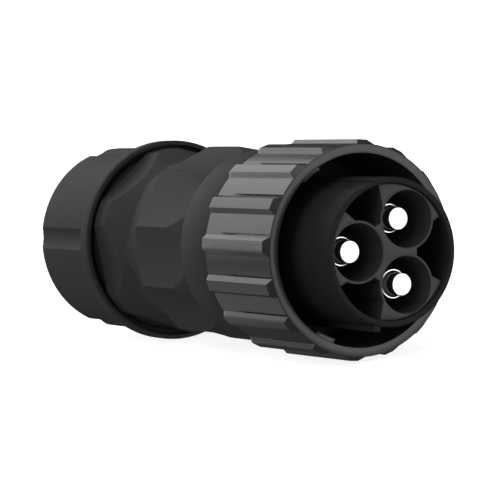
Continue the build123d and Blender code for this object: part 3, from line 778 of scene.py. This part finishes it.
@dataclass
class ContactCarrier:
    """Insulator with three deep chambers and three pockets that open to the shroud's wall."""

    mouth: float = -9.6
    floor: float = 6.0
    radius: float = 12.15
    chamber: float = 5.1
    sleeve: float = 5.65
    pitch: float = 6.75
    inner: float = 5.6
    chambers: tuple[float, ...] = (60.0, 180.0, 300.0)
    pockets: tuple[tuple[float, float], ...] = ((103.0, 143.0), (210.0, 260.0), (334.0, 391.0))
    lip: float = 0.2

    def _centre(self, angle: float) -> np.ndarray:
        """Middle of a chamber."""
        return polar(self.pitch, math.radians(angle))

    def _sleeve_point(self, angle: float, chamber: float) -> np.ndarray:
        """Outer crossing of the ray at this angle with the sleeve round a chamber."""
        offset = math.radians(angle - chamber)
        chord = math.sqrt(self.sleeve**2 - (self.pitch * math.sin(offset)) ** 2)
        return polar(self.pitch * math.cos(offset) + chord, math.radians(angle))

    def _sleeve_arc(self, chamber: float, start: np.ndarray, end: np.ndarray) -> np.ndarray:
        """Points on a sleeve from one place to another, the shorter way."""
        centre = self._centre(chamber)
        first, last = (math.atan2(*(point - centre)[::-1]) for point in (start, end))
        turn = (last - first + math.pi) % FULL_TURN - math.pi
        return centre + polar(self.sleeve, first + turn * np.linspace(0, 1, 13))

    def _contour(self) -> np.ndarray:
        """Outer loop of the face: arcs on the shroud's wall, and in between the three pockets."""
        cosine = (self.inner**2 + self.pitch**2 - self.sleeve**2) / (2 * self.inner * self.pitch)
        near = math.degrees(math.acos(cosine))
        previous = self.pockets[-1][1] - 360
        loop: list[np.ndarray] = []
        following = (*self.chambers[1:], self.chambers[0] + 360)
        for (start, end), before, after in zip(self.pockets, self.chambers, following):
            wall = polar(self.radius, np.radians(np.linspace(previous, start, 40)))
            floor = polar(self.inner, np.radians(np.linspace(before + near, after - near, 6)))
            loop += [wall, self._sleeve_arc(before, self._sleeve_point(start, before), floor[0]), floor[1:-1],
                     self._sleeve_arc(after, floor[-1], self._sleeve_point(end, after))]
            previous = end
        return np.concatenate(loop)

    @staticmethod
    def _shrunk(loop: np.ndarray, amount: float) -> np.ndarray:
        """Moves each point of a loop inwards along the mean normal of its two edges."""
        edges = (loop - np.roll(loop, 1, 0), np.roll(loop, -1, 0) - loop)
        edges = (edge / (np.linalg.norm(edge, axis=1, keepdims=True) + 1e-12) for edge in edges)
        one, two = (np.stack([-edge[:, 1], edge[:, 0]], -1) for edge in edges)
        mean = one + two
        return loop + amount * mean / np.clip((mean * one).sum(1, keepdims=True), 0.5, None)

    @staticmethod
    def _at(loop: np.ndarray, depth: float) -> np.ndarray:
        """Loop of (y, z) points at a depth, in metres."""
        return np.column_stack([np.full(len(loop), -depth), loop]) * MM

    def _circle(self, angle: float, radius: float) -> np.ndarray:
        """Circle round a chamber's middle."""
        return self._centre(angle) + polar(radius, np.arange(72) * FULL_TURN / 72)

    def build(self, materials: Materials) -> None:
        """Makes the carrier: its two flat faces and the walls between them."""
        contour, lip = self._contour(), self.lip
        levels = [(lip, 0.0), (0.3 * lip, 0.3 * lip), (0.0, lip), (0.0, self.floor - self.mouth)]
        piece = Piece("carrier_dressed")

        def loops(amount: float, depth: float) -> list[np.ndarray]:
            """Contour and chambers at a depth, with the solid smaller by an amount."""
            circles = (self._circle(angle, self.chamber + amount) for angle in self.chambers)
            return [self._at(loop, depth) for loop in (self._shrunk(contour, amount), *circles)]

        for wall in zip(*(loops(amount, self.mouth + depth) for amount, depth in levels)):
            piece.add(Patch.grid(np.array(wall)))
        for amount, depth in ((lip, self.mouth), (0.0, self.floor)):
            piece.add(Patch.filled(loops(amount, depth)))
        thing = piece.build(materials.get(Finish.CARRIER))
        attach(thing, Body.HOUSING.value)
        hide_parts("contact_carrier")


@dataclass
class Contact:
    """Turned pin with a nose, a sloped shoulder with a narrow rim, a shank, a collar and a wire barrel."""

    node: str
    angle: float
    tip: float
    pitch: float = 6.75
    nose: float = 2.05
    nose_length: float = 2.8
    radius: float = 2.65
    rim: float = 0.22
    cone: float = 0.45
    floor: float = 6.0
    shank: float = 3.0
    carrier_rear: float = 16.0
    collar: tuple[float, float] = (3.4, 17.5)
    barrel: tuple[float, float] = (2.9, 33.0)
    bore: tuple[float, float] = (1.7, 21.0)
    roundings: tuple[float, ...] = (0, 0.15, 0.1, 0, 0.06, 0, 0.1, 0, 0.15, 0.15, 0, 0.2, 0.15, 0, 0)

    def build(self, materials: Materials) -> None:
        """Makes the contact about its own axis."""
        shoulder = self.tip + self.nose_length
        outline = [
            (self.tip, 0.0), (self.tip, self.nose), (shoulder - self.cone, self.nose),
            (shoulder, self.radius - self.rim), (shoulder, self.radius),
            (self.floor, self.radius), (self.floor, self.shank), (self.carrier_rear, self.shank),
            (self.carrier_rear, self.collar[0]), (self.collar[1], self.collar[0]),
            (self.collar[1], self.barrel[0]), (self.barrel[1], self.barrel[0]),
            (self.barrel[1], self.bore[0]), (self.bore[1], self.bore[0]), (self.bore[1], 0.0),
        ]
        path = rounded(outline, self.roundings, 5)
        sheet = place(path[:, :1], path[:, 1:], round_columns(64), polar(self.pitch, math.radians(self.angle)))
        thing = Piece(f"{self.node}_dressed").add(Patch.grid(sheet)).build(materials.get(Finish.SILVER))
        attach(thing, Body.HOUSING.value)
        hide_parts(self.node)


@dataclass
class RearHousing:
    """Housing with a plain band, ten concave flutes, a neck, a flared hexagon and a threaded tail.

    Round the axis, its columns gather on the edges between lands and hollows, so those edges run true however
    the land's width changes along the axis.
    """

    front: float = 23.8
    band_radius: float = 18.2
    band_end: float = 34.6
    land_radius: float = 17.86
    ridge_radius: float = 18.95
    ridge_start: float = 40.0
    ridge_end: float = 52.0
    neck_low: float = 58.5
    neck_radius: float = 16.4
    neck_steps: int = 18
    flare_start: float = 60.0
    hex_start: float = 66.0
    hex_end: float = 70.4
    hex_corner: float = 18.5
    hex_apothem: float = 17.1
    hex_angle: float = 163.0
    hex_share: float = 0.4
    flutes: int = 10
    ridge_angle: float = 170.0
    ridge_share: float = 0.34
    flute_floor: float = 17.5
    cutter: float = 33.0
    tail_radius: float = 15.95
    tail_end: float = 86.0
    tail_bore: float = 13.6
    tail_land: float = 0.3
    seat: float = 70.0
    cavity: float = 11.95
    socket: tuple[float, float] = (14.15, 36.0)
    mouth: tuple[float, float] = (14.45, 24.4)
    roundings: tuple[float, ...] = (0, 0.5, 0.3, 0, 0.2, 0.2, 0, 0.1, 0, 0.2)
    lead: float = 2.5
    thread_depth: float = 0.75
    thread_start: float = 72.6
    thread_run_in: float = 1.2
    columns: int = 360
    least_land: float = 0.12
    edge_blur: float = 0.02
    neck_blur: float = 0.2
    corner_blur: float = 0.03
    crease: float = 28.0

    def _profile(self) -> np.ndarray:
        """Outer (depth, radius) stations of the body of revolution, from the front to the hexagon's end."""
        rise = self.ridge_radius - self.neck_radius
        run = self.neck_low - self.ridge_end
        arc = (run**2 + rise**2) / (2 * rise)
        turns = math.asin(run / arc) * np.arange(self.neck_steps, -1, -1) / self.neck_steps
        bend = np.stack([self.neck_low - arc * np.sin(turns), self.neck_radius + arc * (1 - np.cos(turns))], -1)
        step = self.band_end + 0.001
        stations = [(self.front, self.band_radius - 0.3), (self.front + 0.08, self.band_radius - 0.1),
                    (self.front + 0.3, self.band_radius), (self.band_end - 0.14, self.band_radius),
                    (self.band_end - 0.04, self.band_radius - 0.03), (self.band_end, self.band_radius - 0.12),
                    (step, self.land_radius), (self.ridge_start, self.ridge_radius),
                    *bend, (self.flare_start, self.neck_radius), (self.hex_start, self.hex_corner),
                    (self.hex_end - 0.15, self.hex_corner), (self.hex_end - 0.04, self.hex_corner - 0.05),
                    (self.hex_end, self.hex_corner - 0.16)]
        path = divided(np.array(stations), 0.35, step, self.neck_low + 0.1, closed=False)
        return divided(path, 0.5, self.flare_start, self.hex_end, closed=False)

    def _land(self, radius: np.ndarray) -> np.ndarray:
        """Half angle of the land between two flutes at each radius of the body."""
        far = self.flute_floor + self.cutter
        half = math.pi / self.flutes
        cosine = (far**2 + radius**2 - self.cutter**2) / (2 * far * radius)
        return np.where(radius <= self.flute_floor, half, half - np.arccos(np.clip(cosine, -1, 1)))

    def _columns(self, count: int, start: float, half_land: np.ndarray, share: float) -> np.ndarray:
        """Angles of every column in every row, gathered on both edges of each land.

        Args:
            count: Lands round the axis.
            start: Angle of the first land's middle in degrees.
            half_land: Half angle of the land in each row.
            share: Share of the columns that lies on the lands.

        Returns:
            Angles as rows by columns.
        """
        pitch, each, least = FULL_TURN / count, self.columns // count, math.radians(self.least_land)
        on_land = int(each * share)
        land, hollow = (0.5 - 0.5 * np.cos(math.pi * np.linspace(0, 1, number, endpoint=False))
                        for number in (on_land, each - on_land))
        half = np.clip(half_land, least, pitch / 2 - least)[:, None]
        one = np.concatenate([2 * half * land - half, half + (pitch - 2 * half) * hollow], 1)
        turns = math.radians(start) + np.arange(count) * pitch
        return (turns[None, :, None] + one[:, None, :]).reshape(len(half_land), -1)

    def _outer(self) -> np.ndarray:
        """Outer surface from the front to the hexagon's rear edge."""
        depth, body = self._profile().T
        fluted = ((depth > self.band_end + 0.0005) & (depth < self.flare_start))[:, None]
        pitch = FULL_TURN / self.flutes
        land = np.where(fluted[:, 0], self._land(body), pitch / 2)
        corner = math.pi / 6 - np.arccos(np.clip(self.hex_apothem / np.maximum(body, self.hex_apothem), -1, 1))
        blend = ramp(depth, self.neck_low - 0.6, self.flare_start + 0.1)[:, None]
        angles = self._columns(self.flutes, self.ridge_angle, land, self.ridge_share) * (1 - blend)
        angles = angles + self._columns(6, self.hex_angle, corner, self.hex_share) * blend
        offset = (angles - math.radians(self.ridge_angle)) % pitch - pitch / 2
        far = self.flute_floor + self.cutter
        near = hollow_radius(far, self.cutter, offset)
        beside = hollow_radius(far, self.cutter, np.where(offset > 0, offset - pitch, offset + pitch))
        hollow = softened(near, np.where(np.abs(offset) > 0.2, beside, 99.0), self.corner_blur)
        depth, body = depth[:, None], np.broadcast_to(body[:, None], angles.shape)
        blur = self.edge_blur + self.neck_blur * ramp(depth, self.ridge_end - 2.0, self.ridge_end + 3.0)
        radius = np.where(fluted, softened(body, hollow, blur), body)
        flat = (angles - math.radians(self.hex_angle)) % (math.pi / 3) - math.pi / 6
        hexagon = softened(radius, self.hex_apothem / np.cos(flat), self.corner_blur)
        return place(depth, np.where(depth > self.flare_start, hexagon, radius), angles)

    def _rest(self) -> np.ndarray:
        """Tail with its thread, and the inside back to the front."""
        path = rounded(
            [(self.hex_end, self.tail_radius), (self.tail_end, self.tail_radius),
             (self.tail_end, self.tail_bore), (self.seat, self.tail_bore), (self.seat, self.cavity),
             (self.socket[1], self.cavity), (self.socket[1], self.socket[0]), (self.mouth[1], self.socket[0]),
             (self.mouth[1], self.mouth[0]), (self.front, self.mouth[0])],
            self.roundings, closed=False,
        )
        path = divided(path, 0.22, self.thread_start, self.tail_end, closed=False)
        angles = self._columns(6, self.hex_angle, np.full(len(path), self.tail_land), self.hex_share)
        depth, radius = path[:, :1], path[:, 1:]
        cut = (1 - helix(depth, angles, self.lead)) * self.thread_depth
        cut = cut * ramp(depth, self.thread_start, self.thread_start + self.thread_run_in)
        radius = np.where(radius > self.tail_bore + 1.0, np.minimum(radius, self.tail_radius - cut), radius)
        return place(depth, radius, angles)

    def build(self, materials: Materials) -> None:
        """Makes the housing as one closed grid."""
        patch = Patch.grid(np.concatenate([self._outer(), self._rest()]), close_rows=True)
        thing = Piece("housing_dressed").add(patch).build(materials.get(Finish.HOUSING), self.crease)
        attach(thing, Body.HOUSING.value)
        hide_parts("rear_housing")


@dataclass
class GlandNut:
    """Nut with a thin skirt, a grooved grip, an inner thread and a rear opening."""

    front: float = 70.0
    skirt_end: float = 73.0
    skirt_radius: float = 20.0
    skirt_bore: float = 19.1
    step: float = 72.5
    radius: float = 18.5
    end: float = 94.5
    rear_wall: float = 90.6
    opening: float = 10.8
    bore: float = 16.0
    roundings: tuple[float, ...] = (0.1, 0.28, 0.22, 0.12, 1.6, 0.45, 0.15, 0, 0, 0.05)
    columns: int = 240
    grooves: int = 5
    groove_angle: float = 180.0
    groove_cutter: float = 3.8
    groove_depth: float = 0.78
    groove_span: tuple[float, float] = (75.0, 95.0)
    groove_end: float = 0.3
    grip_depth: float = 1.2
    lead: float = 2.5
    thread_depth: float = 0.7
    thread_span: tuple[float, float] = (72.7, 88.5)
    thread_ends: tuple[float, float] = (1.2, 1.0)
    crease: float = 35.0

    def _groove(self) -> tuple[float, float]:
        """Distance of a groove's round cutter from the axis, and the half angle over which it cuts the grip."""
        far = self.radius - self.groove_depth + self.groove_cutter
        return far, math.acos((far**2 + self.radius**2 - self.groove_cutter**2) / (2 * far * self.radius))

    def _shaped(self, depth: np.ndarray, radius: np.ndarray, angle: np.ndarray) -> np.ndarray:
        """Takes the grip's round grooves out of the outside and cuts the thread into the bore."""
        pitch = FULL_TURN / self.grooves
        off = (angle - math.radians(self.groove_angle) + pitch / 2) % pitch - pitch / 2
        far, half = self._groove()
        floor = np.where(np.abs(off) < half, hollow_radius(far, self.groove_cutter, off), self.radius)
        start, end = self.groove_span
        along = ramp(depth, start, start + self.groove_end) * (1 - ramp(depth, end - self.groove_end, end))
        groove = along * np.clip(radius - floor, 0, None)
        start, end = self.thread_span
        sets_in, runs_out = self.thread_ends
        thread = (1 - helix(depth, angle, self.lead)) * self.thread_depth
        thread = thread * ramp(depth, start, start + sets_in) * (1 - ramp(depth, end - runs_out, end))
        outer = (radius > self.radius - self.grip_depth) & (depth > self.skirt_end)
        inner = np.abs(radius - self.bore) < 1e-6
        return np.where(outer, radius - groove, np.where(inner, radius + thread, radius))

    def build(self, materials: Materials) -> None:
        """Makes the nut."""
        outline = [
            (self.front, self.skirt_bore), (self.front, self.skirt_radius), (self.skirt_end, self.skirt_radius),
            (self.skirt_end, self.radius), (self.end, self.radius), (self.end, self.opening),
            (self.rear_wall, self.opening), (self.rear_wall, self.bore), (self.step, self.bore),
            (self.step, self.skirt_bore),
        ]
        half = math.degrees(self._groove()[1])
        edges = [self.groove_angle + k * 360 / self.grooves + half * share
                 for k in range(self.grooves) for share in np.linspace(-1, 1, 13)]
        start, end = self.groove_span
        patch = turned(outline, self.roundings, round_columns(self.columns, edges), 5, self._shaped,
                       [(self.skirt_end, self.end, 0.8), (start - 0.4, end + 0.4, 0.8),
                        (self.step, self.rear_wall, 0.22)])
        thing = Piece("nut_dressed").add(patch).build(materials.get(Finish.NUT), self.crease)
        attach(thing, Body.NUT.value)
        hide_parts("gland_nut")


@dataclass(frozen=True)
class PlainTube:
    """Plain tube with rounded edges.

    Attributes:
        node: CAD node that it stands for.
        slot: Name of a slot for its finish; not used.
        finish: Its finish.
        body: Body that it rides on.
        depths: Its front and rear.
        radii: Its inner and outer radius.
        edge: Radius of its edges.
    """

    node: str
    slot: str
    finish: Finish
    body: Body
    depths: tuple[float, float]
    radii: tuple[float, float]
    edge: float

    def build(self, materials: Materials) -> None:
        """Makes the piece."""
        patch = tube(self.depths, self.radii, self.edge, 128)
        thing = Piece(f"{self.node}_dressed").add(patch).build(materials.get(self.finish))
        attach(thing, self.body.value)
        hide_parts(self.node)


GLAND_TUBES = (
    PlainTube("cable_seal", "seal_rubber", Finish.RUBBER, Body.HOUSING, (72.0, 86.0), (7.55, 10.7), 0.5),
    PlainTube("seal_insert", "seal_rubber", Finish.RUBBER, Body.HOUSING, (72.0, 87.0), (5.0, 7.5), 0.5),
    PlainTube("thrust_washer", "washer_plastic", Finish.WASHER, Body.WASHER, (89.3, 90.5), (10.9, 15.5), 0.2),
)


@dataclass
class CarriedOver:
    """CAD nodes that keep their own shape and get a better material."""

    finishes: dict[str, Finish] = field(default_factory=lambda: {
        "spring_washer": Finish.STEEL,
        "retaining_ring": Finish.STEEL,
        "housing_o_ring": Finish.RUBBER,
        "gland_o_ring": Finish.RUBBER,
        "carrier_base": Finish.CARRIER,
        "contact_retainer": Finish.RETAINER,
        "cable_cage": Finish.CAGE,
        "line_clamp_screw": Finish.STEEL,
        "neutral_clamp_screw": Finish.STEEL,
        "earth_clamp_screw": Finish.STEEL,
    })

    def build(self, nodes: dict[str, bpy.types.Object], materials: Materials) -> None:
        """Puts each node's material in its slots."""
        for name, finish in self.finishes.items():
            for holder in nodes[name].material_slots:
                holder.material = materials.get(finish)


@dataclass(frozen=True)
class Panel:
    """Soft rectangular light that faces the connector's middle.

    Attributes:
        name: Its name.
        where: Its place in metres, in the pose of the photograph.
        size: Its width and height in metres.
        glow: Its radiance, where 1 is the white of the background.
        mirrored: Whether it shows in gloss.
    """

    name: str
    where: tuple[float, float, float]
    size: tuple[float, float]
    glow: float
    mirrored: bool = True


@dataclass
class Studio:
    """Camera at the photograph's viewing angle, white stage and soft lights.

    The camera's place is given by where the ring's front centre stands in its own axes. The room that gloss
    shows grows lighter from light_front's first value of X to its second and from light_far's first value of
    Y to its second, which are towards the front and the far side.
    """

    azimuth: float = 59.9
    elevation: float = 1.77
    roll: float = 0.39
    focal_pixels: float = 2812.0
    frame_pixels: float = 500.0
    sensor: float = 36.0
    clip: tuple[float, float] = (0.01, 20.0)
    target: tuple[float, float, float] = (20.1, 0.07, 505.41)
    middle: tuple[float, float, float] = (-0.04, 0.0, 0.0)
    rest_height: float = -20.0
    ambient: float = 0.37
    gloss_ambient: float = 0.06
    gloss_front: float = 0.55
    light_front: tuple[float, float] = (-0.2, 0.5)
    light_far: tuple[float, float] = (-0.45, 0.05)
    floor_half: float = 6.0
    floor_gap: float = 0.0002
    floor_colour: tuple[float, float, float, float] = (0.8, 0.8, 0.8, 1.0)
    floor_glow: float = 0.84
    panels: tuple[Panel, ...] = (
        Panel("side_panel", (-0.72, -0.2, 0.33), (0.75, 0.82), 1.54),
        Panel("low_card", (-0.72, -0.25, -0.32), (0.75, 0.36), 0.34),
        Panel("front_card", (0.63, 0.35, 0.05), (0.46, 0.4), 1.15),
        Panel("overhead", (0.0, -0.1, 0.7), (0.5, 0.5), 0.9),
        Panel("fill", (0.2, -0.8, 0.35), (0.6, 0.6), 2.1, mirrored=False),
    )

    def _axes(self) -> tuple[Vector, Vector, Vector]:
        """Right, up and backward directions of the camera."""
        a, e = math.radians(self.azimuth), math.radians(self.elevation)
        turn = Matrix.Rotation(REST_TURN, 3, "X")
        right = turn @ Vector((math.cos(a), math.sin(a), 0.0))
        back = turn @ Vector((math.sin(a) * math.cos(e), -math.cos(a) * math.cos(e), math.sin(e)))
        up = back.cross(right)
        cosine, sine = math.cos(math.radians(self.roll)), math.sin(math.radians(self.roll))
        return right * cosine + up * sine, up * cosine - right * sine, back

    def camera(self) -> None:
        """Makes the camera."""
        right, up, back = self._axes()
        across, down, away = self.target
        data = bpy.data.cameras.new("camera")
        data.sensor_fit = "HORIZONTAL"
        data.sensor_width = self.sensor
        data.lens = self.sensor * self.focal_pixels / self.frame_pixels
        data.clip_start, data.clip_end = self.clip
        thing = bpy.data.objects.new("camera", data)
        stand = (-across * right + down * up + away * back) * MM
        thing.matrix_world = Matrix.Translation(stand) @ Matrix((right, up, back)).transposed().to_4x4()
        bpy.context.scene.collection.objects.link(thing)
        bpy.context.scene.camera = thing

    def light(self, panel: Panel) -> None:
        """Makes an area light that stays out of the camera's sight."""
        width, height = panel.size
        data = bpy.data.lights.new(panel.name, "AREA")
        data.shape = "RECTANGLE"
        data.size, data.size_y = width, height
        data.energy = panel.glow * math.pi * width * height
        thing = bpy.data.objects.new(panel.name, data)
        stand = Matrix.Rotation(REST_TURN, 3, "X") @ Vector(panel.where)
        away = (stand - Vector(self.middle)).normalized()
        thing.matrix_world = Matrix.Translation(stand) @ away.to_track_quat("Z", "Y").to_matrix().to_4x4()
        thing.visible_camera = False
        thing.visible_glossy = panel.mirrored
        bpy.context.scene.collection.objects.link(thing)

    def world(self) -> None:
        """White behind the connector, a dimmer even light all round it, and a darker room in its gloss."""
        world = bpy.data.worlds.new("stage_world")
        world.use_nodes = True
        world.node_tree.nodes.clear()
        graph = Graph(world.node_tree)
        path = graph.add("LightPath").outputs
        where = graph.add("SeparateXYZ", {0: graph.add("TexCoord").outputs["Generated"]}).outputs
        rises = []
        for axis, (low, high) in (("X", self.light_front), ("Y", self.light_far)):
            rise = graph.add("MapRange", {"Value": where[axis], "From Min": low, "From Max": high,
                                          "To Min": self.gloss_ambient, "To Max": self.gloss_front})
            rise.interpolation_type = "SMOOTHSTEP"
            rises.append(rise.outputs[0])
        seen, lit, gloss = (graph.add("Background", {"Color": WHITE, "Strength": strength}).outputs[0]
                            for strength in (1.0, self.ambient, graph.math("MINIMUM", *rises)))
        shine = graph.add("MixShader", {0: path["Is Glossy Ray"], 1: lit, 2: gloss}).outputs[0]
        mix = graph.add("MixShader", {0: path["Is Camera Ray"], 1: shine, 2: seen}).outputs[0]
        graph.add("OutputWorld", {"Surface": mix})
        bpy.context.scene.world = world

    def floor(self) -> None:
        """Plain white floor that takes the soft shadow and stays out of the connector's light and gloss."""
        half, z = self.floor_half, self.rest_height * MM - self.floor_gap
        mesh = bpy.data.meshes.new("floor")
        mesh.from_pydata([(-half, -half, z), (half, -half, z), (half, half, z), (-half, half, z)],
                         [], [(0, 1, 2, 3)])
        material = bpy.data.materials.new("floor")
        material.use_nodes = True
        material.node_tree.nodes.clear()
        graph = Graph(material.node_tree)
        seen = graph.add("LightPath").outputs["Is Camera Ray"]
        matt = graph.add("BsdfDiffuse", {"Color": self.floor_colour}).outputs[0]
        glow = graph.add("Emission", {"Strength": self.floor_glow}).outputs[0]
        both = graph.add("AddShader", {0: matt, 1: glow}).outputs[0]
        mix = graph.add("MixShader", {0: seen, 1: matt, 2: both}).outputs[0]
        graph.add("OutputMaterial", {"Surface": mix})
        mesh.materials.append(material)
        thing = bpy.data.objects.new("floor", mesh)
        thing.visible_glossy = thing.visible_diffuse = thing.visible_shadow = False
        bpy.context.scene.collection.objects.link(thing)

    def build(self) -> None:
        """Makes the camera, stage and lights."""
        self.camera()
        self.world()
        self.floor()
        for panel in self.panels:
            self.light(panel)
        bpy.context.scene.view_settings.view_transform = "Standard"


def main() -> None:
    """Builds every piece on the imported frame, in order from the front to the rear."""
    logging.basicConfig(level=logging.INFO, format="%(name)s: %(message)s")
    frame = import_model()
    Studio().build()
    materials = Materials()
    makers = [
        CouplingRing(),
        FrontShroud(),
        ContactCarrier(),
        Contact("line_contact", 180.0, -6.7),
        Contact("neutral_contact", 60.0, -6.7),
        Contact("earth_contact", 300.0, -8.1),
        RearHousing(),
        *GLAND_TUBES,
        GlandNut(),
    ]
    for maker in makers:
        log.info("building %s", getattr(maker, "node", type(maker).__name__))
        maker.build(materials)
    CarriedOver().build(frame["nodes"], materials)


if __name__ == "__main__":
    main()
